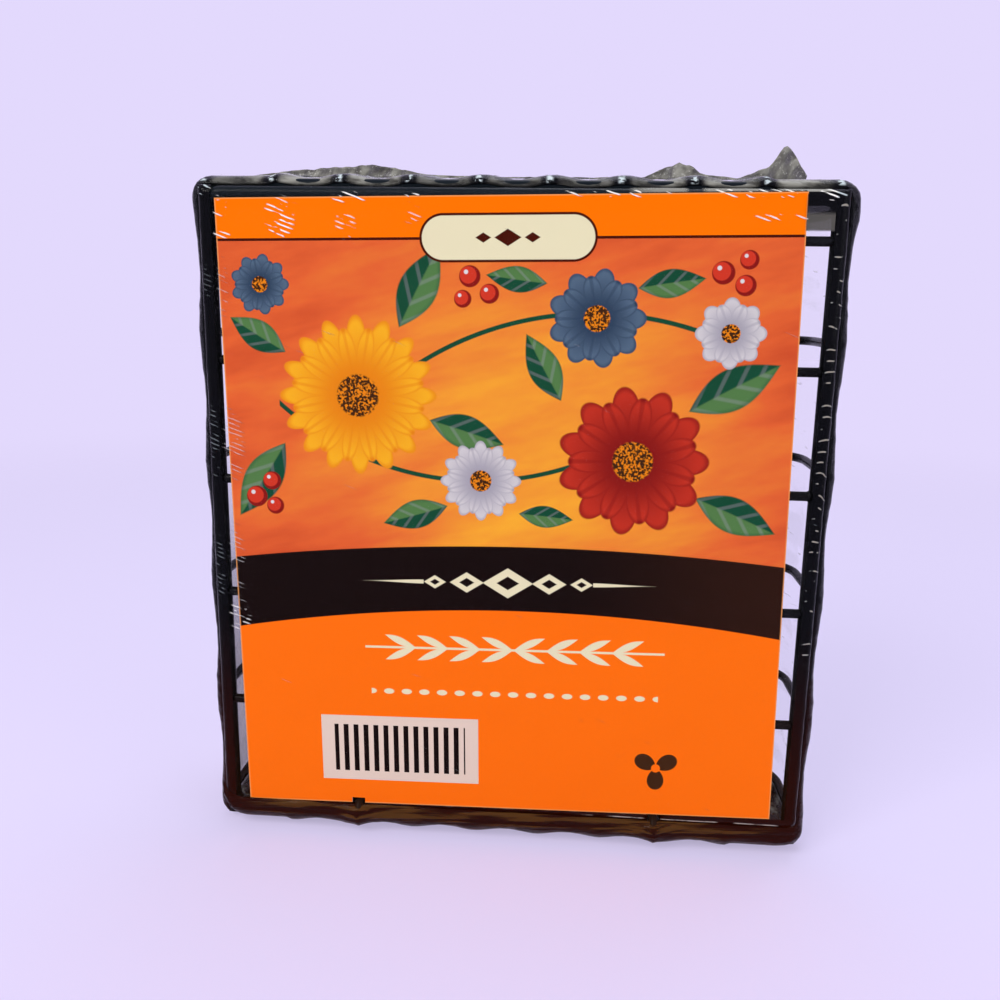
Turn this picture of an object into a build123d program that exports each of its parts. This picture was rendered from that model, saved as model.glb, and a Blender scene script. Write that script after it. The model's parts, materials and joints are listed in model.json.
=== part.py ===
from build123d import *
import math
import os

# A wire cage for one cake of suet: a basket, a front door that drops down about its bottom rod, a hanging
# chain stored inside, a printed card over the front and a clear shrink film round it all.
# Millimetres. +Z up, +X right, +Y to the back. The origin is at the bottom centre of the whole part.
# Everything is laid out from the axis of the door's bottom rod, and moved to the origin when it is written.

# Rods and wires
door_rod = 3.0
rim_rod = 2.5
grid_wire = 2.0
ring_wire = 2.0
chain_wire = 1.6
weld_gap = 0.05  # left between wires that are welded together

# Door
door_width = 128.2  # between the axes of the side rods
door_height = 138.0  # between the axes of the top and bottom rods
door_corner = 3.0
upright_count = 8
upright_inset = 13.0  # from the side rods to the outermost uprights
upright_setback = 1.5  # behind the frame's plane
bar_count = 5
bar_lowest = 26.5
bar_drop = 8.3  # from the top rod to the highest bar

# Basket
rim_step_side = 2.05  # the rim lies this far outside the door's rods at the sides and the top
rim_step_bottom = 1.65
rim_setback = 2.6  # and this far behind them
rim_corner = 3.0
cage_depth = 34.5  # from the door's plane to the back run of the level wires
level_count = 6
level_drop = 3.35  # from the rim's top rod to the highest level wire
level_corner = 10.0
level_step = 1.2  # the level wires' legs lie this far outside the rim's axis
loop_count = 8
loop_inset = 15.61  # from the rim's side rods to the outermost loop wires
loop_bend = 3.0
loop_step_top = 1.15  # the loop wires' top runs lie this far above the rim's axis

# Hinge rings
ring_loop = 2.5  # the rings stand beside the loop wires that lie this many pitches out
ring_play = 0.15  # round the door's rod
ring_side_gap = 0.2

# Card
card_inset = 4.45  # from the side rods to the card's edges
card_foot = 3.25  # above the bottom rod
card_head = 0.05  # below the top rod
card_thickness = 0.35
card_gap = 0.15
card_shift = -1.2  # the card sits a little to the left
card_turn = 1.0  # degrees, anticlockwise from the front
notch_gap = 0.5

# Shrink film
film = 0.15
film_gap = 0.1
film_corner = 4.5
film_front_low = 2.4  # the lower edge of the door's film above the bottom rod
film_rise = 1.8  # the top film climbs this much over the chain's ends
film_rise_front = 6.6  # and is level again this far before the chain
seam_front = 4.6  # the seam stands this far before the chain
seam_thickness = 0.3
seam_height = 6.0
seam_shares = [(-0.84, 0.06), (-0.70, 0.16), (-0.50, 0.26), (-0.22, 0.09), (0.30, 0.10), (0.48, 0.40),
               (0.60, 0.19), (0.73, 0.29), (0.855, 1.0), (0.90, 0.20)]

# Chain
link_inside = 10.0
link_inside_width = 3.4
link_play = 0.1
link_count = 26
hook_inside = 14.0
hook_bend = 2.2
hook_open_degrees = 50.0
chain_behind = 5.9  # from the chain to the back run of the level wires
steep_share = 0.1  # the steepest hang that is tried, as a share of half the chain's span

# Sizes that follow
door_side = door_width / 2
rim_side = door_side + rim_step_side
rim_low = -rim_step_bottom
rim_high = door_height + rim_step_side
upright_pitch = 2 * (door_side - upright_inset) / (upright_count - 1)
bar_pitch = (door_height - bar_drop - bar_lowest) / (bar_count - 1)
loop_pitch = 2 * (rim_side - loop_inset) / (loop_count - 1)
level_highest = rim_high - level_drop
wire_front = rim_setback + rim_rod / 2 + weld_gap
level_side = rim_side + level_step
loop_top = rim_high + loop_step_top
loop_back = cage_depth + grid_wire + weld_gap
loop_low = rim_low - (rim_rod + grid_wire) / 2 - weld_gap
level_lowest = loop_low + loop_bend
bar_y = upright_setback - grid_wire - weld_gap
ring_x = ring_loop * loop_pitch - (grid_wire + ring_wire) / 2 - ring_side_gap
door_ring = door_rod / 2 + ring_play + ring_wire / 2
rim_ring = rim_rod / 2 + weld_gap + ring_wire / 2
card_width = door_width - 2 * card_inset
card_height = door_height - card_foot - card_head
card_middle = card_foot + card_height / 2
card_back = -door_rod / 2 - card_gap
card_front = card_back - card_thickness
chain_y = cage_depth - chain_behind
film_rise_end = chain_y - film_rise_front
seam_y = chain_y - seam_front
film_side = level_side + grid_wire / 2 + film_gap
film_back = loop_back + grid_wire / 2 + film_gap
film_low = loop_low - grid_wire / 2 - film_gap
film_top = loop_top + grid_wire / 2 + film_gap
film_high = film_top + film_rise
film_mouth = rim_setback
film_split = film_side - film_corner
ring_front = -door_ring - ring_wire / 2
base = film_low - film
middle_y = (ring_front + film_back + film) / 2
place = Location((0, -middle_y, -base))

nodes = {}


def keep(name, shape):
    nodes[name] = shape.moved(place)


def bent(path, diameter):
    """A round wire along a path, from the path's start."""
    section = Plane(origin=path @ 0, z_dir=path % 0) * Circle(diameter / 2)
    return sweep(section, path=path)


def straight(start, end, diameter):
    return bent(Line(start, end), diameter)


def rod_loop(side, low, high, corner, diameter, y):
    """A closed rod round a rectangle with round corners, standing at y."""
    outline = [(-side, y, low), (side, y, low), (side, y, high), (-side, y, high)]
    corners = FilletPolyline(*outline, radius=corner, close=True)
    return bent(corners, diameter)


def spread(count, pitch):
    return [(k - (count - 1) / 2) * pitch for k in range(count)]


# Basket: rim, level wires and loop wires
keep("basket_rim", rod_loop(rim_side, rim_low, rim_high, rim_corner, rim_rod, rim_setback))

level_pitch = (level_highest - level_lowest) / (level_count - 1)
for k in range(level_count):
    z = level_lowest + k * level_pitch
    path = FilletPolyline((-level_side, wire_front, z), (-level_side, cage_depth, z),
                          (level_side, cage_depth, z), (level_side, wire_front, z), radius=level_corner)
    keep(f"basket_level_wire_{k + 1}", bent(path, grid_wire))

for k, x in enumerate(spread(loop_count, loop_pitch)):
    path = FilletPolyline((x, wire_front, loop_top), (x, loop_back, loop_top),
                          (x, loop_back, loop_low), (x, rim_setback, loop_low), radius=loop_bend)
    keep(f"basket_loop_wire_{k + 1}", bent(path, grid_wire))


# Hinge rings: each goes round the door's bottom rod and the rim's bottom rod
def hinge_ring(x):
    reach = math.hypot(rim_setback, rim_low)
    lean = math.atan2(rim_low, rim_setback)
    spread_angle = math.acos((door_ring - rim_ring) / reach)

    def around(y, z, radius, angle):
        return Vector(x, y + radius * math.cos(angle), z + radius * math.sin(angle))

    door_high, door_low = [around(0, 0, door_ring, lean + a) for a in (spread_angle, -spread_angle)]
    rim_up, rim_down = [around(rim_setback, rim_low, rim_ring, lean + a) for a in (spread_angle, -spread_angle)]
    door_end = around(0, 0, door_ring, lean + math.pi)
    rim_end = around(rim_setback, rim_low, rim_ring, lean)
    path = Wire([ThreePointArc(door_high, door_end, door_low), Line(door_low, rim_down),
                 ThreePointArc(rim_down, rim_end, rim_up), Line(rim_up, door_high)])
    return bent(path, ring_wire)


for name, x in (("hinge_ring_left", -ring_x), ("hinge_ring_right", ring_x)):
    keep(name, hinge_ring(x))

# Door: frame, uprights and bars
keep("door_frame", rod_loop(door_side, 0, door_height, door_corner, door_rod, 0))

rod_clear = door_rod / 2 + weld_gap
for k, x in enumerate(spread(upright_count, upright_pitch)):
    keep(f"door_upright_{k + 1}",
         straight((x, upright_setback, rod_clear), (x, upright_setback, door_height - rod_clear), grid_wire))

for k in range(bar_count):
    z = bar_lowest + k * bar_pitch
    keep(f"door_bar_{k + 1}",
         straight((rod_clear - door_side, bar_y, z), (door_side - rod_clear, bar_y, z), grid_wire))

# Card and the door's film, both notched round the hinge rings
notch_width = ring_wire + 2 * notch_gap
notch_top = door_ring + ring_wire / 2 + notch_gap / 2


def sheet(outline, back, thickness):
    """A flat sheet in front of the door, from an outline drawn in X and Z."""
    return extrude(Plane.XZ.offset(-back) * outline, thickness)


def notches(back, thickness):
    notch = Rectangle(notch_width, 2 * notch_top)
    return [sheet(Pos(x, 0) * notch, back, thickness) for x in (-ring_x, ring_x)]


card_outline = Pos(card_shift, card_middle) * Rot(0, 0, card_turn) * Rectangle(card_width, card_height)
keep("display_card", sheet(card_outline, card_back, card_thickness) - notches(card_back, card_thickness))

film_front_side = door_side + door_rod / 2 + film_gap
film_front_high = door_height + door_rod / 2 + film_gap
film_front_tall = film_front_high - film_front_low
front_outline = Pos(0, film_front_low + film_front_tall / 2) * RectangleRounded(
    2 * film_front_side, film_front_tall, door_corner)
front_back = card_front - weld_gap
keep("film_front", sheet(front_outline, front_back, film) - notches(front_back, film))


# The basket's film: what three drawn outlines have in common, less the same a film's thickness inside
def film_block(grow, mouth):
    side, back = film_side + grow, film_back + grow
    low, top, high = film_low - grow, film_top + grow, film_high + grow
    tall = high - low
    face = Pos(0, low + tall / 2) * RectangleRounded(2 * side, tall, film_corner + grow)
    along = extrude(Plane.XZ.offset(-mouth) * face, -(back - mouth))
    plan_deep = 2 * (back - mouth)
    plan = Pos(0, back - plan_deep / 2) * RectangleRounded(2 * side, plan_deep, level_corner + grow)
    upright = extrude(Plane.XY.offset(low) * plan, tall)
    outline = FilletPolyline((mouth, low), (back, low), (back, high), (film_rise_end, high), (mouth, top),
                             radius=loop_bend)
    profile = make_face([*outline.edges(), Line((mouth, top), (mouth, low)).edge()])
    across = extrude(Plane.YZ.offset(-side) * profile, 2 * side)
    return along & upright & across


film_shell = film_block(film, film_mouth) - film_block(0, film_mouth - film)
split_low = base + film_corner
split_high = film_top - film_corner
beyond = film_side + film_back + film_high  # past the film on every side


def region(low, high):
    """A box between two corners in X and Z, right through the film in Y."""
    size = [b - a for a, b in zip(low, high)]
    centre = [(a + b) / 2 for a, b in zip(low, high)]
    return Pos(centre[0], 0, centre[1]) * Box(size[0], 2 * beyond, size[1])


for name, low, high in (
        ("film_left", (-beyond, -beyond), (-film_split, beyond)),
        ("film_right", (film_split, -beyond), (beyond, beyond)),
        ("film_bottom", (-film_split, -beyond), (film_split, split_low)),
        ("film_back", (-film_split, split_low), (film_split, split_high)),
        ("film_top", (-film_split, split_high), (film_split, beyond))):
    keep(name, film_shell & region(low, high))

# The gathered seam that stands on the top film
seam_low = film_high + film
seam_points = [(film_side * along, seam_low + seam_height * up) for along, up in seam_shares]
seam_ends = [(seam_points[0][0], seam_low), (seam_points[-1][0], seam_low)]
seam_face = make_face(Polyline(*seam_ends, *reversed(seam_points), close=True))
keep("film_seam", sheet(seam_face, seam_y, seam_thickness))


# Chain: links and a hook along a hanging curve, both ends over the basket's top wires
link_pitch = link_inside - link_play
hang_x = rim_side - loop_inset  # the ends hang on the outermost loop wires
hang_z = loop_top + grid_wire / 2 + link_play
chain_length = link_count * link_pitch + hook_inside - link_play


def hanging_scale():
    """The catenary's scale for the chain's length and span, by halving the range that holds it."""
    low, high = hang_x * steep_share, hang_x
    for _ in range(60):
        guess = (low + high) / 2
        if 2 * guess * math.sinh(hang_x / guess) > chain_length:
            low = guess
        else:
            high = guess
    return guess


scale = hanging_scale()
drop = scale * math.cosh(hang_x / scale)


def hanging_point(along):
    x = scale * math.asinh((along - chain_length / 2) / scale)
    return Vector(x, chain_y, hang_z - drop + scale * math.cosh(x / scale))


def between(start, end, turned):
    """The place of a piece that hangs from start to end, with its face turned to the side or not."""
    along = (end - start).normalized()
    across = Vector(0, 1, 0)
    face = along.cross(across) if turned else across
    return Location(Plane(origin=(start + end) / 2, x_dir=along, z_dir=face))


link_long = link_inside + chain_wire
link_wide = link_inside_width + chain_wire
link_path = SlotOverall(link_long, link_wide).wire()
link = bent(link_path, chain_wire)
links = []
for k in range(link_count):
    start, end = hanging_point(k * link_pitch), hanging_point((k + 1) * link_pitch)
    links.append(link.moved(between(start, end, k % 2 == 1)))
keep("chain_links", Compound(children=links))


def hook_shape():
    """An S-shaped hook along X: two round ends and the straight piece that touches both."""
    centre_x = hook_inside / 2 - (hook_bend - chain_wire / 2)
    lean = math.asin(hook_bend / centre_x)
    opening = math.radians(hook_open_degrees)

    def end_point(sign, angle):
        return Vector(sign * (centre_x + hook_bend * math.cos(angle)), sign * hook_bend * math.sin(angle), 0)

    meet = math.pi / 2 + lean
    tip = -math.pi + opening
    halves = []
    for sign in (1, -1):
        halves.append([end_point(sign, angle) for angle in (tip, (tip + meet) / 2, meet)])
    first_arc = ThreePointArc(*halves[0])
    last_arc = ThreePointArc(*reversed(halves[1]))
    path = Wire([first_arc, Line(halves[0][2], halves[1][2]), last_arc])
    return bent(path, chain_wire)


hook_start = hanging_point(link_count * link_pitch)
hook_end = hanging_point(chain_length)
keep("chain_hook", hook_shape().moved(between(hook_start, hook_end, False)))

os.makedirs("parts", exist_ok=True)
for name, shape in nodes.items():
    export_step(shape, f"parts/{name}.step")

print("hinge axis y, z:", round(-middle_y, 3), round(-base, 3))
print("chain axis y, z:", round(chain_y - middle_y, 3), round(loop_top - base, 3))
print("chain lowest z:", round(hang_z - drop + scale - base, 2), "scale", round(scale, 2))
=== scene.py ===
import json
import math
import bmesh
import bpy
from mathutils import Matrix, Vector, noise


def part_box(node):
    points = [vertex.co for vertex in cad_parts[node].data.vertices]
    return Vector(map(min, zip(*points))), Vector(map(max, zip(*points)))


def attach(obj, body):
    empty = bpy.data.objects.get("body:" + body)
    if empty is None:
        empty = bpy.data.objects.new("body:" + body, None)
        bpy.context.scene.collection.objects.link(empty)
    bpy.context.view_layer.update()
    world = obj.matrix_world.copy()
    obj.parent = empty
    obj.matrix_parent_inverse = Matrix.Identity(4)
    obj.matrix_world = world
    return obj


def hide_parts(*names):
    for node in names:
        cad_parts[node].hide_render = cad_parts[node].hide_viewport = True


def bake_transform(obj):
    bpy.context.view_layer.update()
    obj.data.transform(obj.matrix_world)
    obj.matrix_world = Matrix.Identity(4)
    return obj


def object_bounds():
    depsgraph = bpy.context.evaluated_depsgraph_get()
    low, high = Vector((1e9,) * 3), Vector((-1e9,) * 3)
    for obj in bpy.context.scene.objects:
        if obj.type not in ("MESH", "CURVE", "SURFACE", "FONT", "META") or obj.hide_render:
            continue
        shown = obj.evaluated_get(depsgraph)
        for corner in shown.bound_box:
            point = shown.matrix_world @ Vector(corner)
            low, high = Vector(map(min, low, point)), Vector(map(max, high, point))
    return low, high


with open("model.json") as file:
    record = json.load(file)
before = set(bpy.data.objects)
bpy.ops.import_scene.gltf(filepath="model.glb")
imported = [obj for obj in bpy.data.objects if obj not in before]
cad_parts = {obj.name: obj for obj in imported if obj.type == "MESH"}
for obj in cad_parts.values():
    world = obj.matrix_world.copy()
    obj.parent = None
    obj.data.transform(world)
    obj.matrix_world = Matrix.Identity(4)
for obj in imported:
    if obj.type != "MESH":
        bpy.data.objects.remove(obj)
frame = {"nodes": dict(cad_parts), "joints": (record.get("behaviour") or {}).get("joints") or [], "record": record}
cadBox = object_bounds()
nodes = frame["nodes"]
mm = 0.001
hinge = Vector(frame["joints"][0]["pos_m"])  # the door's bottom rod
print("frame loaded:", len(nodes), "nodes")


# Camera, lamps and backdrop

studio = {
    "cameraPlace": (0.01313, -0.21581, 0.12265), "cameraTurn": (78.00, -0.92, 4.64),
    "lens": 33.98, "nearClip": 0.01,
    "paper": (0.768, 0.694, 0.982, 1.0), "floor": (0.80, 0.715, 1.0, 1.0),
    "worldLight": (0.93, 0.95, 1.0, 1.0), "worldStrength": 0.46,
    "lamps": [  # name, place, size, power, colour
        ("keyLamp", (-0.42, -0.62, 0.70), 0.45, 5.2, (1.0, 0.98, 0.95)),
        ("fillLamp", (0.70, -0.50, 0.35), 0.60, 1.8, (0.94, 0.96, 1.0)),
        ("topLamp", (0.10, 0.25, 0.80), 0.50, 2.2, (0.86, 0.92, 1.0)),
    ],
    "floorSize": 4.0, "floorDrop": 0.0002, "floorFade": (0.22, 0.75), "floorGlow": 0.55,
}


class Port:  # one output of a material's node, so that a sum on it adds nodes
    def __init__(self, tree, socket):
        self.tree, self.socket = tree, socket

    def node(self, kind, settings=None, feeds=None, out=0):
        made = self.tree.nodes.new("ShaderNode" + kind)
        for name, value in (settings or {}).items():
            if name == "stops":
                for place, colour in value[2:]:
                    made.color_ramp.elements.new(place)
                for stop, (place, colour) in zip(made.color_ramp.elements, sorted(value)):
                    stop.position, stop.color = place, colour
            else:
                setattr(made, name, value)
        for socket, value in (feeds or {}).items():
            if isinstance(value, Port):
                self.tree.links.new(value.socket, made.inputs[socket])
            else:
                made.inputs[socket].default_value = value
        return Port(self.tree, made.outputs[out])

    def calc(self, operation, first, second=0.0):
        return self.node("Math", {"operation": operation}, {0: first, 1: second})

    def through(self, operation):  # the port itself through one operation, such as SINE or FRACT
        return self.calc(operation, self)

    def __add__(self, other):
        return self.calc("ADD", self, other)

    def __radd__(self, other):
        return self.calc("ADD", other, self)

    def __sub__(self, other):
        return self.calc("SUBTRACT", self, other)

    def __rsub__(self, other):
        return self.calc("SUBTRACT", other, self)

    def __mul__(self, other):
        return self.calc("MULTIPLY", self, other)

    def __rmul__(self, other):
        return self.calc("MULTIPLY", other, self)

    def __truediv__(self, number):
        return self.calc("MULTIPLY", self, 1 / number)

    def __pow__(self, other):
        return self.calc("POWER", self, other)

    def __gt__(self, other):
        return self.calc("GREATER_THAN", self, other)

    def __lt__(self, other):
        return self.calc("LESS_THAN", self, other)

    def __abs__(self):
        return self.through("ABSOLUTE")


def ramp(value, low, high):  # a smooth climb from 0 to 1
    return value.node("MapRange", {"interpolation_type": "SMOOTHSTEP"},
                      {0: value, 1: low, 2: high, 3: 0.0, 4: 1.0})


def fall(value, low, high):  # a smooth fall from 1 to 0
    return 1.0 - ramp(value, low, high)


def most(first, *others):
    for other in others:
        first = first.calc("MAXIMUM", first, other)
    return first


def over(mask, under, top):
    return mask.node("Mix", {"data_type": "RGBA"}, {0: mask, 6: under, 7: top}, 2)


def axes(place):
    split = place.node("SeparateXYZ", {}, {0: place}).socket.node
    return [Port(place.tree, split.outputs[axis]) for axis in "XYZ"]


def stretch(coords, scale, lean=0.0):  # turns a pattern about Y and then draws it out
    return coords.node("Mapping", {"vector_type": "TEXTURE"},
                       {0: coords, 2: (0, math.radians(lean), 0), 3: tuple(1 / s for s in scale)})


def grain(coords, scale, detail=2.0, rough=0.5):
    return coords.node("TexNoise", {},
                       {"Vector": coords, "Scale": scale, "Detail": detail, "Roughness": rough})


def newFinish(name, fixed):
    finish = bpy.data.materials.new(name)
    finish.use_nodes = True
    shader = finish.node_tree.nodes["Principled BSDF"]
    for socket, value in fixed.items():
        shader.inputs[socket].default_value = value
    coords = Port(finish.node_tree, finish.node_tree.nodes.new("ShaderNodeTexCoord").outputs["Object"])
    return finish, shader, coords


def feed(shader, socket, port):
    port.tree.links.new(port.socket, shader.inputs[socket])


def bump(shader, height, distance, strength=1.0):
    feed(shader, "Normal", height.node("Bump", {},
                                       {"Height": height, "Distance": distance, "Strength": strength}))


def seenAsBackdrop(tree):  # 1 for what the camera, a mirror or a glass shows, 0 for the light that it gives
    path = tree.nodes.new("ShaderNodeLightPath")
    rays = ("Is Camera Ray", "Is Glossy Ray", "Is Transmission Ray")
    return most(*[Port(tree, path.outputs[ray]) for ray in rays])


def makeCamera():
    bpy.ops.object.camera_add(location=studio["cameraPlace"],
                              rotation=[math.radians(a) for a in studio["cameraTurn"]])
    camera = bpy.context.object
    camera.data.lens = studio["lens"]
    camera.data.clip_start = studio["nearClip"]
    bpy.context.scene.camera = camera
    bpy.context.scene.view_settings.view_transform = "Standard"


def makeLamps():
    middle = (cadBox[0] + cadBox[1]) / 2
    for name, place, size, power, colour in studio["lamps"]:
        bpy.ops.object.light_add(type="AREA", location=place)
        lamp = bpy.context.object
        lamp.name = name
        lamp.data.size, lamp.data.energy, lamp.data.color = size, power, colour
        lamp.rotation_euler = (middle - Vector(place)).to_track_quat("-Z", "Y").to_euler()


def makeWorld():
    world = bpy.data.worlds.new("paperWorld")
    bpy.context.scene.world = world
    world.use_nodes = True
    tree = world.node_tree
    light = tree.nodes["Background"]
    light.inputs["Color"].default_value = studio["worldLight"]
    light.inputs["Strength"].default_value = studio["worldStrength"]
    seen = seenAsBackdrop(tree)
    paper = seen.node("Background", {}, {"Color": studio["paper"], "Strength": 1.0})
    mixed = seen.node("MixShader", {}, {0: seen, 1: Port(tree, light.outputs[0]), 2: paper})
    tree.links.new(mixed.socket, tree.nodes["World Output"].inputs["Surface"])


def makeFloor():  # paper that keeps the shadow and fades out into the world's colour
    bpy.ops.mesh.primitive_plane_add(size=studio["floorSize"], location=(0, 0, -studio["floorDrop"]))
    floor = bpy.context.object
    floor.name = "studioFloor"
    finish, shader, coords = newFinish("paperFloor", {"Base Color": studio["floor"], "Roughness": 0.9,
                                                      "Specular IOR Level": 0.1})
    spread = coords.node("VectorMath", {"operation": "LENGTH"}, {0: coords}, "Value")
    feed(shader, "Alpha", fall(spread, *studio["floorFade"]))
    tree = finish.node_tree
    seen = seenAsBackdrop(tree)
    paper = seen.node("Emission", {}, {"Color": studio["paper"], "Strength": 1.0})
    lit = Port(tree, shader.outputs[0])
    mixed = seen.node("MixShader", {}, {0: seen * studio["floorGlow"], 1: lit, 2: paper})
    tree.links.new(mixed.socket, tree.nodes["Material Output"].inputs["Surface"])
    floor.data.materials.append(finish)


def makeStudio():
    makeCamera()
    makeLamps()
    makeWorld()
    makeFloor()
    print("studio ready")


wires = {  # millimetres from the hinge, and the rod's thickness
    "loopPitch": 14.44, "lastLoop": 50.6, "levelPitch": 27.53, "levelFirst": -0.95, "rod": 2.0,
}

# Finishes

coat = {
    "black": (0.0035, 0.0035, 0.0045, 1.0), "worn": (0.010, 0.010, 0.012, 1.0),
    # low and high are the tints of a painted brown reflection near the bottom and a painted bluish reflection near
    # the top
    "low": (0.021, 0.0085, 0.0035, 1.0), "high": (0.008, 0.013, 0.018, 1.0),
    "lowReflectionFade": (0.004, 0.050), "highReflectionFade": (0.132, 0.147), "peelSize": 0.0006, "peelDepth": 0.00004,
}


def makePowderCoat():
    finish, shader, coords = newFinish("glossBlackCoat", {"Specular IOR Level": 0.04})
    height = axes(coords)[2]
    patches = grain(coords, 90.0, 3.0)
    shade = over(ramp(patches, 0.4, 0.7), coat["black"], coat["worn"])
    # painted bluish reflection, towards the top of the wires
    shade = over(ramp(height, *coat["highReflectionFade"]) * 0.8, shade, coat["high"])
    # painted warm brown reflection, towards the bottom of the wires
    feed(shader, "Base Color", over(fall(height, *coat["lowReflectionFade"]) * 0.9, shade, coat["low"]))
    feed(shader, "Roughness", 0.17 + 0.18 * patches)
    bump(shader, grain(coords, 1 / coat["peelSize"], 1.0), coat["peelDepth"], 0.6)
    return finish


def makeZinc():
    finish, shader, coords = newFinish("brightZinc", {"Metallic": 1.0})
    spots = grain(coords, 700.0, 3.0)
    feed(shader, "Base Color", over(spots, (0.46, 0.46, 0.45, 1.0), (0.30, 0.31, 0.32, 1.0)))
    feed(shader, "Roughness", 0.25 + 0.2 * spots)
    bump(shader, spots, 0.00002)
    return finish


card = {  # millimetres from the card's middle
    "half": (59.65, 67.35), "turn": -1.0, "frontFace": -0.165,
    "orange": (1.0, 0.180, 0.0, 1.0), "lowOrange": (1.0, 0.165, 0.004, 1.0),
    "ink": (0.0075, 0.0030, 0.0026, 1.0), "bandEnd": (0.030, 0.0095, 0.0050, 1.0),
    "rule": (0.060, 0.006, 0.002, 1.0), "cream": (0.80, 0.74, 0.47, 1.0), "edge": (0.86, 0.36, 0.11, 1.0),
    "board": (0.62, 0.60, 0.56, 1.0), "boardDark": (0.50, 0.48, 0.44, 1.0),
    "panelPaper": (0.76, 0.62, 0.50, 1.0), "seed": (0.050, 0.018, 0.006, 1.0),
    "yellow": (0.96, 0.50, 0.020, 1.0), "gold": (0.80, 0.23, 0.008, 1.0),
    "red": (0.62, 0.040, 0.018, 1.0), "deepRed": (0.24, 0.010, 0.008, 1.0),
    "slate": (0.105, 0.165, 0.235, 1.0), "deepSlate": (0.030, 0.055, 0.095, 1.0),
    "white": (0.72, 0.69, 0.66, 1.0), "shadeWhite": (0.38, 0.36, 0.40, 1.0),
    "leaf": (0.085, 0.200, 0.060, 1.0), "deepLeaf": (0.008, 0.068, 0.032, 1.0),
    "glow": (6.0, 12.0), "glowReach": (4.0, 66.0),
    "sky": [  # warmth and colour, with the ramp's two own stops first
        (0.22, (0.60, 0.075, 0.022, 1.0)), (1.0, (1.0, 0.52, 0.030, 1.0)), (0.40, (0.76, 0.125, 0.030, 1.0)),
        (0.56, (0.82, 0.20, 0.032, 1.0)), (0.76, (0.90, 0.34, 0.030, 1.0)),
    ],
    "blossoms": [  # place, radius, petals, inner colour, outer colour
        ((-31.0, 27.0), 17.5, 16, "gold", "yellow"), ((27.0, 13.5), 16.5, 11, "deepRed", "red"),
        ((19.0, 43.0), 10.5, 9, "deepSlate", "slate"), ((-5.0, 9.0), 9.0, 12, "shadeWhite", "white"),
        ((46.0, 40.0), 7.5, 8, "shadeWhite", "white"), ((-51.0, 50.0), 6.5, 9, "deepSlate", "slate"),
    ],
    "leaves": [  # foot, length, width, direction in degrees
        ((-22.0, 41.0), 19.0, 8.5, 62), ((-47.0, 17.0), 20.0, 8.5, 236), ((-16.0, 22.0), 17.0, 7.5, -18),
        ((12.0, 26.0), 16.0, 7.0, 118), ((38.0, 24.0), 21.0, 9.0, 28), ((40.0, 6.0), 19.0, 8.0, -24),
        ((27.0, 49.0), 14.0, 6.0, 8), ((9.0, 50.0), 13.0, 5.5, 172), ((-12.0, 3.5), 15.0, 6.5, 196),
        ((-46.0, 36.0), 14.0, 6.5, 148), ((3.0, 2.0), 12.0, 5.0, -6),
    ],
    "stems": [  # centre, radius, left end, right end
        ((-6.0, 71.0), 62.0, -48.0, 34.0), ((18.0, -24.0), 68.0, -30.0, 50.0),
    ],
    "stemEdge": (0.35, 0.6),
    "berries": [  # place, radius
        ((44.0, 52.0), 2.3), ((48.5, 49.5), 2.1), ((49.0, 54.5), 1.9),
        ((-54.0, 5.0), 2.3), ((-50.5, 8.5), 2.0), ((-50.0, 3.0), 1.9),
        ((-7.0, 51.5), 2.2), ((-3.0, 48.0), 2.0), ((-8.5, 47.0), 1.8),
    ],
    "line": 59.0, "lineHalf": 0.27, "plate": (0.8, 59.1), "plateHalf": (13.2, 4.85), "outline": 0.5,
    "plateLozenges": [(0.0, 1.7), (5.0, 1.0), (-5.0, 1.0)],  # shift across, size
    "bandTop": (-5.4, 520.0), "bandFoot": (-19.9, 352.0),  # peak and radius
    "ornament": (0.8, -13.6), "lozengeSquash": 0.62, "tail": (18.0, 32.0),
    "lozenges": [(0.0, 3.4), (9.0, 2.3), (-9.0, 2.3), (16.0, 1.5), (-16.0, 1.5)],  # shift across, size
    "sprig": (2.0, -29.0), "sprigPitch": 7.2, "sprigCount": 4, "sprigLeaf": (3.0, 1.0),
    "sprigStem": (0.16, 0.34),
    "seedRow": (2.0, -39.5), "seedPitch": 4.0, "seedCount": 8, "seedEdge": (1.0, 1.3), "seedSquash": 1.8,
    "badge": (34.0, -56.0), "badgeRadius": 5.2, "badgeHole": 1.0,
    "panel": (-23.9, -53.6), "panelHalf": (18.0, 7.9), "bars": 1.15, "barMargin": (3.0, 2.2),
}


def within(value, edge, soft):  # 1 below an edge, 0 above it
    return fall(value, edge - soft, edge + soft)


def length(first, second):
    return (first * first + second * second).through("SQRT")


def inDisc(across, up, spot, radius):
    return within(length(across - spot[0], up - spot[1]), radius, 0.12)


def aboveArc(across, up, peak, radius):  # 1 above a flat arc that peaks at the middle of the card
    return ramp(up - (peak - across * across * (0.5 / radius)), -0.08, 0.08)


def outside(across, up, centre, half):  # distance from a box, 0 inside it
    side, rise = abs(across - centre[0]) - half[0], abs(up - centre[1]) - half[1]
    return length(most(side, 0.0), most(rise, 0.0))


def inLozenge(across, up, centre, size, soft):
    return within(abs(across - centre[0]) * card["lozengeSquash"] + abs(up - centre[1]), size, soft)


def paintSky(place):  # long soft streaks over a warm field, with a glow low in the middle
    streaks = grain(stretch(place, (0.020, 1.0, 0.080), -14), 1.0, 5.0, 0.6)
    centre = (card["glow"][0], 0.0, card["glow"][1])
    glow = place.node("VectorMath", {"operation": "DISTANCE"}, {0: place, 1: centre}, "Value")
    warmth = streaks * 0.95 + fall(glow, *card["glowReach"]) * 0.40 - 0.12
    return place.node("ValToRGB", {"stops": card["sky"]}, {0: warmth})


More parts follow.
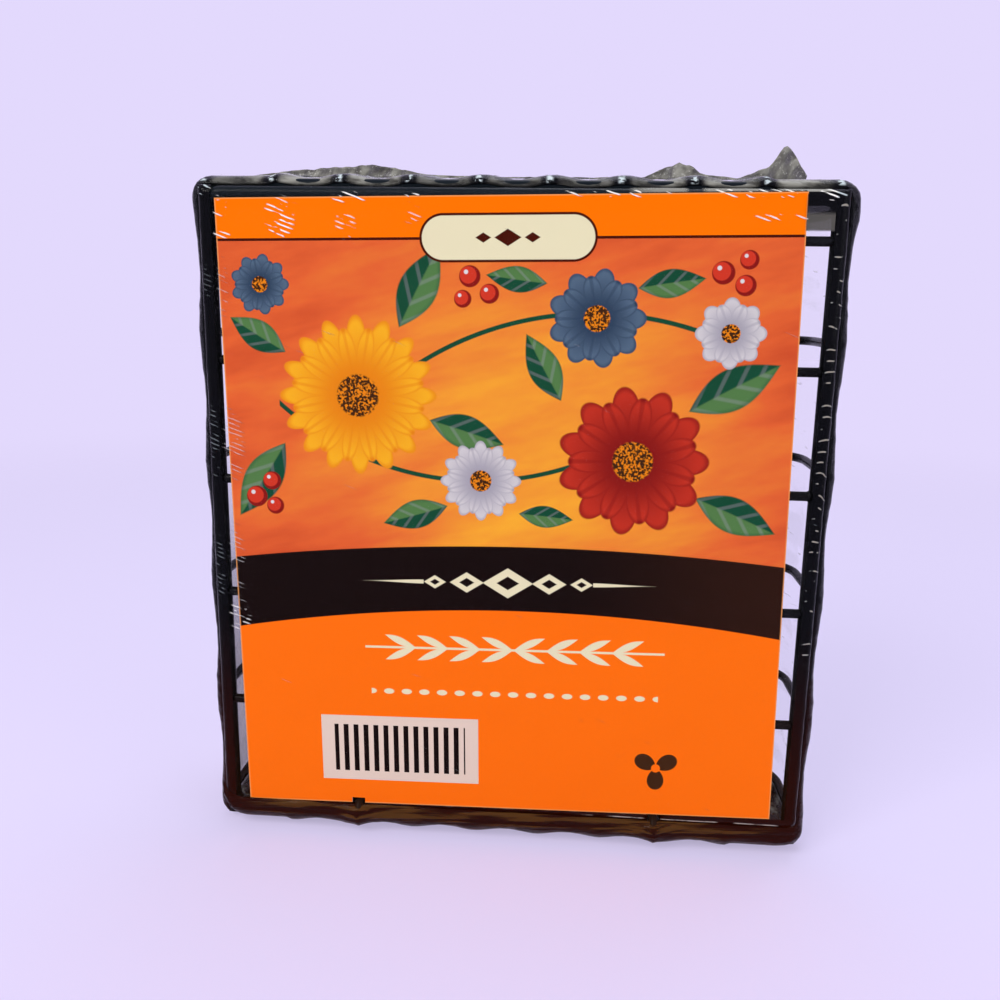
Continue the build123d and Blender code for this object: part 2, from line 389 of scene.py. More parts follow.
def paintStem(shade, across, up, centre, radius, left, right):  # an arc that shows on the card's middle side
    dv = up - centre[1]
    line = abs(length(across - centre[0], dv) - radius)
    inward = dv < 0.0 if centre[1] > 0 else dv > 0.0
    stem = fall(line, *card["stemEdge"]) * (across > left) * (across < right) * inward
    return over(stem, shade, card["deepLeaf"])


def paintLeaf(shade, across, up, foot, long, wide, degrees):
    turn = math.radians(degrees)
    du, dv = across - foot[0], up - foot[1]
    along = (du * math.cos(turn) + dv * math.sin(turn)) / long
    side = (dv * math.cos(turn) - du * math.sin(turn)) / wide
    bulge = (along * (1.1 - along * 0.1) * math.pi).through("SINE") * 0.5
    body = ramp(bulge - abs(side), 0.0, 0.05) * (along > 0.0) * (along < 1.0)
    tone = over(ramp(side - 0.04 * bulge, -0.03, 0.03), card["leaf"], card["deepLeaf"])
    veins = (along * 26.0 - abs(side) * 14.0).through("SINE")
    tone = over(ramp(veins, 0.4, 1.0) * 0.22, tone, card["shadeWhite"])
    tone = over(ramp(bulge - abs(side), 0.16, 0.0) * 0.55, tone, card["deepLeaf"])
    return over(body, shade, tone)


def paintBlossom(shade, place, across, up, spot, radius, petals, inner, outer):  # petals round a heart
    du, dv = across - spot[0], up - spot[1]
    reach = length(du, dv) / radius
    angle = dv.calc("ARCTAN2", dv, du) * (petals / 2)
    wave = abs(angle.through("SINE"))
    behind = 0.50 + 0.46 * abs(angle.through("COSINE")) ** 0.55
    before = 0.42 + 0.40 * wave ** 0.6
    tone = over(ramp(reach, 0.25, 0.95), card[inner], card[outer])
    shaded = over(ramp(reach - behind, -0.10, 0.0) * 0.6 + 0.25, tone, card[inner])
    shade = over(within(reach - behind, 0.0, 0.015), shade, shaded)
    crease = ramp(abs(wave - 1.0), 0.05, 0.0) * 0.5
    front = over(crease + ramp(reach - before, -0.09, 0.0) * 0.7, tone, card[inner])
    shade = over(within(reach - before, 0.0, 0.015), shade, front)
    heart = over(ramp(grain(place, 2.2, 1.0), 0.45, 0.6), card["seed"], card["gold"])
    return over(fall(reach, 0.24, 0.27), shade, heart)


def paintBerry(shade, across, up, spot, radius):  # a dark rim, a red body and a small light
    discs = ((0, 0, 1, "deepRed"), (0.15, 0.12, 0.78, "red"), (0.35, 0.4, 0.2, "white"))
    for left, rise, size, colour in discs:
        centre = (spot[0] - left * radius, spot[1] + rise * radius)
        shade = over(inDisc(across, up, centre, size * radius), shade, card[colour])
    return shade


def paintBand(shade, across, up):  # the dark band with its row of lozenges, and the plain field below it
    band = over(ramp(across, 10.0, 60.0) * 0.8, card["ink"], card["bandEnd"])
    shade = over(aboveArc(across, up, *card["bandTop"]), band, shade)
    middle, height = card["ornament"]
    for offset, size in card["lozenges"]:
        shade = over(inLozenge(across, up, (middle + offset, height), size, 0.12), shade, card["cream"])
        shade = over(inLozenge(across, up, (middle + offset, height), size * 0.45, 0.12), shade, band)
    start, end = card["tail"]
    span = abs(across - middle)
    taper = ramp(span, end, start) * 0.45
    tail = within(abs(up - height) - taper, 0.0, 0.06) * (span > start + 0.5) * (span < end)
    shade = over(tail, shade, card["cream"])
    return over(aboveArc(across, up, *card["bandFoot"]), card["lowOrange"], shade)


def paintHead(shade, across, up):  # the plain head with its rule, and the blank plate on it
    shade = over(up > card["line"], shade, card["orange"])
    shade = over(abs(up - card["line"]) < card["lineHalf"], shade, card["rule"])
    long, high = card["plateHalf"]
    spread = outside(across, up, card["plate"], (long, 0.0))
    shade = over(within(spread, high, 0.1), shade, card["rule"])
    shade = over(within(spread, high - card["outline"], 0.1), shade, card["cream"])
    for offset, size in card["plateLozenges"]:
        centre = (card["plate"][0] + offset, card["plate"][1])
        shade = over(inLozenge(across, up, centre, size, 0.1), shade, card["rule"])
    return shade


def paintSprig(shade, across, up):
    middle, height = card["sprig"]
    pitch, count = card["sprigPitch"], card["sprigCount"]
    rise, wide = card["sprigLeaf"]
    span, lift = abs(across - middle), abs(up - height)
    shade = over(fall(lift, *card["sprigStem"]) * (span < (count + 0.6) * pitch), shade, card["cream"])
    step = (span / pitch).through("FRACT")
    belly = (step * math.pi).through("SINE") * wide
    leaf = ramp(belly - abs(lift - step * rise), 0.0, 0.2)
    return over(leaf * (span < count * pitch), shade, card["cream"])


def paintSeeds(shade, across, up):  # a dotted row
    middle, height = card["seedRow"]
    pitch = card["seedPitch"]
    cell = (((across - middle) / pitch + 100.5).through("FRACT") - 0.5) * pitch
    seeds = fall(length(cell, (up - height) * card["seedSquash"]), *card["seedEdge"])
    return over(seeds * (abs(across - middle) < card["seedCount"] * pitch), shade, card["cream"])


def paintBadge(shade, across, up):  # a dark figure of three petals
    du, dv = across - card["badge"][0], up - card["badge"][1]
    reach = length(du, dv)
    turn = dv.calc("ARCTAN2", dv, du) * 1.5 - math.pi / 4
    petal = abs(turn.through("COSINE")) * card["badgeRadius"]
    return over(ramp(petal - reach, -0.1, 0.1) * (reach > card["badgeHole"]), shade, card["seed"])


def paintPanel(shade, across, up):  # a pale panel with plain even bars
    wide, high = card["panelHalf"]
    marginX, marginY = card["barMargin"]
    shade = over(outside(across, up, card["panel"], (wide, high)) < 0.01, shade, card["panelPaper"])
    stripe = (across * (math.pi / card["bars"])).through("SINE") > 0.0
    field = outside(across, up, card["panel"], (wide - marginX, high - marginY)) < 0.01
    return over(stripe * field, shade, card["ink"])


def makePrint():
    finish, shader, coords = newFinish("printedCard", {"Specular IOR Level": 0.03})
    low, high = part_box("display_card")
    turn = (0, math.radians(card["turn"]), 0)
    place = coords.node("Mapping", {"vector_type": "TEXTURE"},
                        {0: coords, 1: (low + high) / 2, 2: turn, 3: (mm, mm, mm)})
    across, deep, up = axes(place)
    shade = paintSky(place)
    for stem in card["stems"]:
        shade = paintStem(shade, across, up, *stem)
    for leaf in card["leaves"]:
        shade = paintLeaf(shade, across, up, *leaf)
    for blossom in card["blossoms"]:
        shade = paintBlossom(shade, place, across, up, *blossom)
    for spot, radius in card["berries"]:
        shade = paintBerry(shade, across, up, spot, radius)
    for paint in (paintBand, paintHead, paintSprig, paintSeeds, paintBadge, paintPanel):
        shade = paint(shade, across, up)
    cutEdge = most(abs(across) - card["half"][0], abs(up) - card["half"][1])
    shade = over(ramp(cutEdge, -0.34, -0.12) * 0.75, shade, card["edge"])

    printed = deep < card["frontFace"]  # the back is bare board
    fibre = grain(place, 2.5, 4.0)
    feed(shader, "Base Color", over(printed, over(fibre, card["board"], card["boardDark"]), shade))
    feed(shader, "Roughness", 0.62 - 0.2 * printed)
    bump(shader, grain(place, 0.05, 2.0) * 3.0 + fibre * 0.02, 0.0006, 0.5)
    return finish


wrap = {  # finishes of the film, with places in millimetres from the hinge
    "clear": (0.93, 0.94, 0.97, 1.0), "glint": (0.96, 0.94, 0.90, 1.0), "coldGlint": (0.58, 0.66, 0.69, 1.0),
    "tanGlint": (0.40, 0.36, 0.29, 1.0), "paleTan": (0.62, 0.59, 0.49, 1.0), "tan": (0.42, 0.33, 0.235, 1.0),
    "grey": (0.105, 0.100, 0.088, 1.0), "paleGrey": (0.34, 0.33, 0.295, 1.0),
    # the near-black is painted shade for film over the rods; brown, russet, amber and olive are tones of a painted
    # brown reflection low down
    "paintedShade": (0.0040, 0.0042, 0.0055, 1.0), "brown": (0.024, 0.0032, 0.0008, 1.0),
    "russet": (0.046, 0.016, 0.006, 1.0), "amber": (0.085, 0.018, 0.004, 1.0),
    "umber": (0.032, 0.026, 0.020, 1.0), "olive": (0.088, 0.036, 0.008, 1.0),
    "humps": [(-38.0, 24.0), (46.0, 27.0)],  # middle and reach of the gathered film on the top rail
    "loopPhase": 0.46,  # where a loop wire shows in each pitch
}

doorWrap = {
    "patches": [  # clusters of glints: place on the door's plane, half width, half height, strength
        (-48.5, 133.0, 3.2, 4.6, 1.0), (-33.8, 137.2, 3.6, 1.2, 1.0), (-34.7, 132.0, 2.2, 3.0, 0.6),
        (-61.0, 135.4, 1.6, 2.2, 1.0), (-60.6, 129.8, 1.8, 1.0, 0.9), (-20.5, 137.2, 2.4, 0.9, 1.0),
        (-21.0, 133.4, 2.0, 1.2, 0.4), (-61.0, 119.0, 1.3, 7.0, 0.20), (-60.0, 86.0, 2.6, 9.0, 0.22),
        (-60.4, 60.0, 2.2, 9.0, 0.20), (-60.2, 47.0, 2.6, 4.0, 0.55), (20.0, 138.4, 12.0, 0.8, 0.9),
        (48.0, 138.6, 12.0, 0.9, 1.0), (52.0, 134.0, 5.5, 0.7, 0.8), (-64.6, 139.0, 2.2, 1.6, 0.9),
        (62.0, 138.6, 2.6, 1.2, 1.0), (-64.3, 86.0, 1.3, 10.0, 0.11), (-64.3, 58.0, 1.3, 9.0, 0.10),
        (-64.3, 120.0, 1.2, 4.0, 0.08),
    ],
    "strokeLean": 20.0, "strokeRate": 6.6, "scatteredGlints": 0.14,
    "tilt": 0.0193,  # the card leans by this much, and the film's tones follow its edges
    "foot": (3.0, 3.3), "head": (138.0, 138.3), "headPivot": 139.3, "besideRight": (57.05, 57.25),
    # how thickly painted shade covers the rods and the strip under the card, and how thickly the painted glints
    # cover the film
    "rods": (62.7, 63.1), "rodCover": 0.75, "footCover": 0.88, "litCover": 0.85, "clearCover": 0.004,
    "veil": 0.80, "veilFrom": (131.4, 131.9), "hood": 0.62,
    "rungRate": 0.43, "rungMiddle": 64.3, "rungBow": 0.07, "rungHalf": (0.015, 0.085),
    "rungsFrom": (34.0, 60.0), "rungStart": (63.0, 63.4), "rung": 0.20,
    "tickStart": (63.4, 63.8), "tickEnd": (65.0, 65.4), "tick": 0.75,
    "shineHeight": 2.72, "shineHalf": (0.03, 0.17), "shineStart": (14.0, 26.0), "shineEnd": (60.5, 62.0),
    "shineGaps": (41.8, 8.2), "gapHalf": (1.4, 2.6), "shine": 0.8,
}

bagWrap = {
    # where and how thickly painted shade lies over the rim lip, and how thickly the painted brown reflection
    # covers the bottom
    "paintedShadeDepth": (3.3, 3.9), "paintedShade": 0.85, "low": (-3.7, -2.3), "lowCover": 0.95, "clearCover": 0.018,
    "veilSide": (-67.0, -64.0), "veilFoot": (-4.0, 0.0), "veilTop": (28.0, 95.0),
    "veilTone": (18.0, 44.0), "veil": 0.48, "seamHalf": (0.6, 5.0), "gatheredFrom": (141.0, 142.2),
    "gatheredDepth": (4.0, 7.0), "gathered": 0.88,
    # brownBelow: heights where the painted shade turns into a painted brown reflection
    "hoodFrom": (139.6, 140.8), "hoodLeast": 0.42, "brownBelow": (8.0, 60.0),
    # painted glints on the loop wire ends
    "sparkHalf": (0.02, 0.065), "sparkFrom": (140.4, 140.9), "sparkTo": (142.1, 142.5), "spark": 0.95,
    "crease": 0.26, "sheen": 0.075, "gain": 0.98,
}


def newFilm(name, specular):
    finish, shader, coords = newFinish(name, {"Specular IOR Level": specular, "Roughness": 0.12})
    place = coords.node("Mapping", {"vector_type": "TEXTURE"}, {0: coords, 1: hinge, 3: (mm, mm, mm)})
    return finish, shader, place


def offLoop(across):  # how far a place lies from the nearest loop wire, in pitches
    return abs((across / wires["loopPitch"] + 100.0).through("FRACT") - wrap["loopPhase"])


def slantingStrokes(place):  # painted glints as short even strokes that lean down to the right
    turned = stretch(place, (1.0, 1.0, 1.0), doorWrap["strokeLean"])
    rise = axes(turned)[2]
    wander = 7.0 * grain(stretch(place, (0.12, 0.12, 0.12)), 1.0, 2.0)
    broken = grain(stretch(place, (0.30, 0.30, 0.9), doorWrap["strokeLean"]), 1.0, 2.0)
    wave = (rise * doorWrap["strokeRate"] + wander).through("SINE")
    return ramp(wave, 0.35, 0.85) * ramp(broken, 0.47, 0.55)


def inPatches(across, up):
    spots = []
    for u, v, halfU, halfV, strength in doorWrap["patches"]:
        du, dv = (across - u) / halfU, (up - v) / halfV
        spots.append(fall(du * du + dv * dv, 0.35, 1.3) * strength)
    return most(*spots)


def rodRippleGlints(place, across, up):  # bowed rungs of light across the right rod
    offset = across - doorWrap["rungMiddle"]
    wander = 1.6 * grain(stretch(place, (0.12, 0.3, 0.05)), 1.0, 2.0)
    count = up * doorWrap["rungRate"] + wander + doorWrap["rungBow"] * offset * offset
    rung = fall(abs(count.through("FRACT") - 0.5), *doorWrap["rungHalf"])
    worn = ramp(grain(stretch(place, (0.6, 0.3, 0.30)), 1.0, 1.0), 0.46, 0.60)
    tick = worn * ramp(across, *doorWrap["tickStart"]) * fall(across, *doorWrap["tickEnd"]) * doorWrap["tick"]
    faint = worn * ramp(across, *doorWrap["rungStart"]) * doorWrap["rung"]
    return rung * most(tick, faint) * ramp(up, *doorWrap["rungsFrom"])


def footShine(place, across, up):  # a broken line of light between the card and the bottom rod
    drift = 0.3 * grain(stretch(place, (0.06, 0.1, 0.1)), 1.0)
    line = fall(abs(up - doorWrap["shineHeight"] - drift), *doorWrap["shineHalf"])
    line = line * ramp(across, *doorWrap["shineStart"]) * fall(across, *doorWrap["shineEnd"])
    middle, spread = doorWrap["shineGaps"]
    gaps = ramp(abs(abs(across - middle) - spread), *doorWrap["gapHalf"])
    return line * gaps * ramp(grain(place, 0.25, 2.0), 0.36, 0.50)


def makeDoorFilm():  # clear over the card, with painted shade over the rods and under the card, a painted brown reflection low down, and painted glints in clusters and on ripples
    finish, shader, place = newFilm("clearFilmFront", 0.05)
    across, _, up = axes(place)
    fromFoot = up - across * doorWrap["tilt"]  # height above the card's own foot
    belowCard = fall(fromFoot, *doorWrap["foot"])
    onRod = most(ramp(abs(across), *doorWrap["rods"]), belowCard)
    # scattered painted glints on the film
    scatteredGlints = ramp(grain(stretch(place, (0.10, 0.3, 1.5), 20), 1.0, 2.0), 0.76, 0.80)
    scatteredGlints = scatteredGlints * doorWrap["scatteredGlints"]
    rungs, shine = rodRippleGlints(place, across, up), footShine(place, across, up)
    lit = most(slantingStrokes(place) * inPatches(across, up), scatteredGlints, rungs)

    haze = over(ramp(up, 134.4, 135.4), wrap["grey"], wrap["paintedShade"])
    haze = over(ramp(fromFoot, 137.8, 138.0) * (across < 62.0), haze, wrap["paleGrey"])
    # painted shade over the rods and under the card, turning into a painted brown reflection towards the bottom
    dark = over(fall(up, 8.0, 52.0), wrap["paintedShade"], wrap["brown"])
    shade = over(onRod > 0.004, haze, dark)
    shade = over(ramp(lit, 0.02, 0.3), shade, over(onRod, wrap["glint"], wrap["coldGlint"]))
    shade = over(ramp(rungs, 0.02, 0.3), shade, wrap["tanGlint"])
    feed(shader, "Base Color", over(shine, shade, wrap["paleTan"]))

    beside = across + (up - doorWrap["headPivot"]) * doorWrap["tilt"]
    veil = ramp(beside, *doorWrap["besideRight"]) * ramp(up, *doorWrap["veilFrom"])
    veil = veil * (1.0 - onRod) * doorWrap["veil"]
    hump, reach = wrap["humps"][1]
    hood = ramp(fromFoot, *doorWrap["head"]) * fall(abs(across - hump), reach * 0.6, reach)
    hood = hood * ramp(offLoop(across), 0.07, 0.18) * doorWrap["hood"]
    glare = doorWrap["clearCover"] + most(lit, shine * doorWrap["shine"]) * doorWrap["litCover"]
    # how thickly the painted shade covers the rods and the strip under the card
    dim = most(onRod * doorWrap["rodCover"], belowCard * doorWrap["footCover"])
    feed(shader, "Alpha", most(dim, veil, hood, glare))
    bump(shader, grain(place, 0.35, 3.0), 0.0003, 0.5)
    return finish


def makeBagFilm():  # thinly creased, with painted shade where it clings to the rim, grey where it is gathered, and a painted brown reflection below
    finish, shader, place = newFilm("clearFilmBag", 0.06)
    across, deep, up = axes(place)
    glints = ramp(grain(stretch(place, (0.16, 0.16, 0.9), 20), 1.0, 3.0), 0.66, 0.72)
    crumpled = grain(stretch(place, (0.22, 0.15, 0.6), 10), 1.0, 4.0)
    sheen = ramp(grain(stretch(place, (0.05, 0.05, 0.16), 25), 1.0, 3.0), 0.50, 0.66)
    onHump = most(*[fall(abs(across - middle), reach * 0.5, reach) for middle, reach in wrap["humps"]])
    atSeam = fall(abs(deep - fin["place"]), *bagWrap["seamHalf"]) * (0.25 + 0.55 * onHump)
    inFront = fall(deep, *bagWrap["gatheredDepth"]) * 0.8 * onHump
    gathered = ramp(up, *bagWrap["gatheredFrom"]) * most(atSeam, inFront)
    gathered = gathered * (0.55 + 0.45 * ramp(crumpled, 0.30, 0.55))
    # the bottom gets a painted brown reflection, and the lip over the rim gets painted shade
    low, paintedShade = fall(up, *bagWrap["low"]), fall(deep, *bagWrap["paintedShadeDepth"])
    veil = fall(across, *bagWrap["veilSide"]) * ramp(up, *bagWrap["veilFoot"]) * fall(up, *bagWrap["veilTop"])
    veil = veil * bagWrap["veil"]
    fromLoop = offLoop(across)
    # painted glints on the end of each loop wire along the top of the rim
    loopGlints = fall(fromLoop, *bagWrap["sparkHalf"]) * ramp(up, *bagWrap["sparkFrom"])
    loopGlints = loopGlints * fall(up, *bagWrap["sparkTo"]) * paintedShade
    loopGlints = loopGlints * ramp(grain(stretch(place, (0.8, 0.8, 1.2)), 1.0, 2.0), 0.44, 0.54)

    haze = over(ramp(crumpled, 0.42, 0.66), wrap["grey"], wrap["paleGrey"])
    veilTone = over(ramp(up, *bagWrap["veilTone"]), wrap["tan"], wrap["paleGrey"])
    shade = over(veil > 0.02, over(glints, wrap["clear"], wrap["glint"]), veilTone)
    shade = over(gathered, shade, haze)
    # painted brown reflection on the bottom, with painted tan highlights
    shade = over(low, shade, over(ramp(crumpled, 0.54, 0.68) * 0.6, wrap["russet"], wrap["tanGlint"]))
    hooded = ramp(up, *bagWrap["hoodFrom"]) * most(onHump, bagWrap["hoodLeast"])
    hooded = hooded * ramp(crumpled, 0.24, 0.48) * ramp(fromLoop, 0.08, 0.20)
    # painted shade over the rim lip, turning into a painted brown reflection towards the bottom
    dark = over(fall(up, *bagWrap["brownBelow"]), wrap["paintedShade"], wrap["brown"])
    shade = over(paintedShade, shade, over(hooded, dark, haze))
    feed(shader, "Base Color", over(loopGlints, shade, wrap["coldGlint"]))
    cover = most(glints * bagWrap["crease"], gathered * bagWrap["gathered"], sheen * bagWrap["sheen"], veil,
                 low * bagWrap["lowCover"], paintedShade * bagWrap["paintedShade"], loopGlints * bagWrap["spark"])
    feed(shader, "Alpha", bagWrap["clearCover"] + cover * bagWrap["gain"])
    bump(shader, crumpled, 0.0008, 0.8)
    return finish


def makeFinFilm():  # many layers gathered together, grey and nearly opaque
    finish, shader, place = newFilm("gatheredFilm", 0.15)
    pleats = grain(stretch(place, (0.55, 0.5, 0.20), 25), 1.0, 4.0)
    blotch = grain(stretch(place, (0.22, 0.35, 0.5), -20), 1.0, 3.0)
    specks = ramp(grain(place, 1.6, 2.0), 0.60, 0.70)
    # lighter pleat ridges are a painted highlight
    tone = over(ramp(pleats, 0.30, 0.72), wrap["grey"], wrap["paleGrey"])
    tone = over(ramp(blotch, 0.50, 0.64) * 0.5, tone, wrap["umber"])
    # specks of painted glint
    feed(shader, "Base Color", over(specks * 0.35, tone, wrap["glint"]))
    feed(shader, "Alpha", 0.74 + 0.24 * ramp(pleats, 0.3, 0.6))
    bump(shader, pleats, 0.0006, 1.0)
    return finish


def makeTentFilm():  # doubled film round the hinge, with a painted brown reflection and painted shade: brown with olive streaks and an amber lower edge
    finish, shader, place = newFilm("hingeFilmPaintedReflection", 0.05)
    across, _, up = axes(place)
    streaks = grain(stretch(place, (0.06, 0.6, 1.0), -3), 1.0, 3.0)
    inward = fall(abs(across), 54.0, 63.0)
    # olive streaks and an amber lower edge in the painted brown reflection
    shade = over(ramp(streaks, 0.44, 0.60) * ramp(up, -2.6, -0.4) * inward, wrap["brown"], wrap["olive"])
    shade = over(fall(up, -2.9, -1.9) * ramp(streaks, 0.35, 0.6), shade, wrap["amber"])
    feed(shader, "Base Color", shade)
    feed(shader, "Alpha", 0.86 + 0.12 * streaks)
    bump(shader, streaks, 0.0009, 0.8)
    return finish


def dress(name, finish):
    for slot in nodes[name].material_slots:
        slot.material = finish


# New pieces

def fromHinge(x, y, z):  # millimetres from the door's bottom rod, as metres in the frame
    return hinge + Vector((x, y, z)) * mm


def newMesh(name, make, across=(1.0, 1.0, 1.0), **fixed):  # adds one primitive with nothing else selected
    bpy.ops.object.select_all(action="DESELECT")
    make(**fixed)
    piece = bpy.context.object
    piece.name = name
    piece.scale = across
    bpy.ops.object.transform_apply(location=True, rotation=True, scale=True)
    return piece


def pick(piece, kind, wanted):  # selects in edit mode the faces or edges that a rule wants
    bpy.ops.mesh.select_all(action="DESELECT")
    bpy.ops.mesh.select_mode(type=kind)
    shape = bmesh.from_edit_mesh(piece.data)
    for item in (shape.faces if kind == "FACE" else shape.edges):
        item.select = bool(wanted(item))
    shape.select_flush_mode()
    bmesh.update_edit_mesh(piece.data)


def cutRows(piece, axis, places):  # cuts new rows across one axis, at millimetres from the hinge
    normal = [0.0, 0.0, 0.0]
    normal[axis] = 1.0
    for place in places:
        bpy.ops.mesh.select_all(action="SELECT")
        bpy.ops.mesh.bisect(plane_co=hinge + Vector(normal) * place * mm, plane_no=normal)


def steps(low, high, pitch):
    count = max(1, round((high - low) / pitch))
    return [low + (high - low) * k / count for k in range(1, count)]


def reshape(piece, rule):  # moves each point by a rule on millimetres from the hinge and its normal
    normals = [v.normal.copy() for v in piece.data.vertices]
    for v, normal in zip(piece.data.vertices, normals):
        v.co = hinge + rule((v.co - hinge) / mm, normal) * mm
    piece.data.update()


def useModifier(piece, kind, **settings):
    bpy.context.view_layer.objects.active = piece
    modifier = piece.modifiers.new(kind, kind)
    for name, value in settings.items():
        setattr(modifier, name, value)
    bpy.ops.object.modifier_apply(modifier=modifier.name)


def ending(piece, body, slot, finish, *replaced):
    piece.data.materials.clear()
    piece.data.materials.append(finish)
    bpy.ops.object.select_all(action="DESELECT")
    piece.select_set(True)
    bpy.context.view_layer.objects.active = piece
    bpy.ops.object.shade_smooth()
    if body:
        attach(piece, body)
    if replaced:
        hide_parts(*replaced)
    print(piece.name, len(piece.data.polygons), "faces")


def follow(stops, value):  # reads a list of (place, amount) at a place, straight between its stops
    ordered = sorted(stops)
    value = min(max(value, ordered[0][0]), ordered[-1][0])
    for (a, low), (b, high) in zip(ordered, ordered[1:]):
        if value <= b:
            return low + (high - low) * (value - a) / (b - a)
    return ordered[-1][1]


def between(value, pitch, offset=0.0):  # 0 at each wire, 1 halfway to the next
    return math.sin(math.pi * (value / pitch + offset)) ** 2


def share(value, start, end):  # how far a value has come on its way, from 0 to 1
    return min(1.0, max(0.0, (value - start) / (end - start)))


def betweenLoops(x):  # 0 at each loop wire, with a fixed amount past the outermost ones
    return between(x, wires["loopPitch"], 0.5) if abs(x) < wires["lastLoop"] else bag["endSag"]


def crumple(x, y, z, scale, seed):  # sharp-backed folds from smooth noise
    ridge = 1 - abs(noise.noise(Vector((x, y, z)) * scale + Vector((seed, seed, seed)))) * 2
    return ridge ** 3 if ridge > 0 else 0.0


bag = {
    "side": 68.55, "mouth": 1.1, "lowMouth": 2.6, "back": 37.75, "low": -5.15, "top": 142.4,
    "planCorner": 10.0, "edgeCorner": 4.2, "thickness": 0.12, "grid": 1.7,
    "lipGrid": 0.45, "lipDepth": 3.0, "lipSide": 2.45, "lipTop": 2.0,
    "sagSide": 0.7, "sagTop": 0.95, "sagBack": 0.9, "sagLow": 1.2, "endSag": 0.6,
    "fold": 0.35, "foldStart": (3.0, 9.0), "ripple": 0.22, "rippleDepth": 14.0,
    "rise": 1.8, "riseDepth": (2.6, 22.0), "riseHeight": (120.0, 140.0),
    "cornerSwell": (-0.35, 0.55), "cornerHigh": 136.0, "cornerReach": 4.2,
}


def makeBag(finish):
    half, low, top = bag["side"], bag["low"], bag["top"]
    front, back = bag["mouth"], bag["back"]
    piece = newMesh("shrink_bag", bpy.ops.mesh.primitive_cube_add, size=1,
                    location=fromHinge(0, (front + back) / 2, (low + top) / 2),
                    across=(2 * half * mm, (back - front) * mm, (top - low) * mm))

    def isRearCorner(edge):
        first, second = edge.verts
        return abs(first.co.z - second.co.z) > 0.1 and min(first.co.y, second.co.y) > 0.01

    def isLevelCorner(edge):  # where the walls meet the top or the bottom
        first, second = edge.verts
        if abs(first.co.z - second.co.z) > 0.0001 or len(edge.link_faces) != 2:
            return False
        return abs(edge.link_faces[0].normal.dot(edge.link_faces[1].normal)) < 0.3

    bpy.ops.object.mode_set(mode="EDIT")
    pick(piece, "FACE", lambda face: face.normal.y < -0.9)
    bpy.ops.mesh.delete(type="FACE")
    pick(piece, "EDGE", isRearCorner)
    bpy.ops.mesh.bevel(offset=bag["planCorner"] * mm, segments=8, affect="EDGES")
    pick(piece, "EDGE", isLevelCorner)
    bpy.ops.mesh.bevel(offset=bag["edgeCorner"] * mm, segments=5, affect="EDGES")
    cutRows(piece, 0, steps(-half, half, bag["grid"]))
    cutRows(piece, 2, steps(low, top, bag["grid"]))
    cutRows(piece, 1, steps(front, front + bag["lipDepth"], bag["lipGrid"]))
    cutRows(piece, 1, steps(front + bag["lipDepth"], back, bag["grid"]))
    bpy.ops.object.mode_set(mode="OBJECT")

    def taut(p, n):
        x, y, z = p
        side, rear = n.x * n.x, max(n.y, 0) ** 2
        up, down = max(n.z, 0) ** 2, max(-n.z, 0) ** 2
        acrossLoops = betweenLoops(x)
        acrossLevels = between(z - wires["levelFirst"], wires["levelPitch"])
        sag = (side * acrossLevels * bag["sagSide"] + up * acrossLoops * bag["sagTop"]
               + rear * acrossLoops * bag["sagBack"] + down * acrossLoops * bag["sagLow"])
        folds = crumple(x, y * 0.6, z * 0.4, 0.16, 3.0) + 0.6 * crumple(x * 0.5, y, z, 0.4, 8.0)
        free = (1 - down) * share(y, *bag["foldStart"])
        moved = p - n * sag + n * folds * bag["fold"] * free
        swell = bag["cornerSwell"][x > 0] * math.exp(-((z - bag["cornerHigh"]) / bag["cornerReach"]) ** 2)
        ripple = bag["ripple"] * crumple(0, y * 0.1, z, 0.5, 6.0)
        fade = max(0.0, 1 - y / bag["rippleDepth"])
        moved.x += math.copysign(side * fade * (swell + ripple), x)
        moved.y += down * (bag["lowMouth"] - front) * (back - y) / (back - front)
        moved.z += share(y, *bag["riseDepth"]) * bag["rise"] * share(z, *bag["riseHeight"])
        lip = (front + bag["lipDepth"] - y) / bag["lipDepth"]
        if lip > 0 and down < 0.5:
            turn = lip * math.pi / 2
            moved.x -= math.copysign((1 - math.cos(turn)) * (bag["lipSide"] + max(0.0, swell)), x) * side
            moved.z -= (1 - math.cos(turn)) * bag["lipTop"] * up
            moved.y = front + bag["lipDepth"] * (1 - math.sin(turn)) + down * (moved.y - y)
        return moved

    reshape(piece, taut)
    useModifier(piece, "SOLIDIFY", thickness=bag["thickness"] * mm, offset=-1.0)
    ending(piece, "basket", "clear_film", finish,
           "film_left", "film_right", "film_bottom", "film_back", "film_top")


frontFilm = {
    "plane": -2.15, "turnSide": 63.95, "turnTop": 137.85, "low": 2.4, "bend": 1.8, "tail": 0.9,
    "grid": 1.7, "lipGrid": 0.5, "lipMargin": 1.5, "ringPlace": 33.9, "notchHalf": 1.5, "notchTop": 3.9,
    "fold": 0.1, "ripple": 0.12, "thickness": 0.1,
}


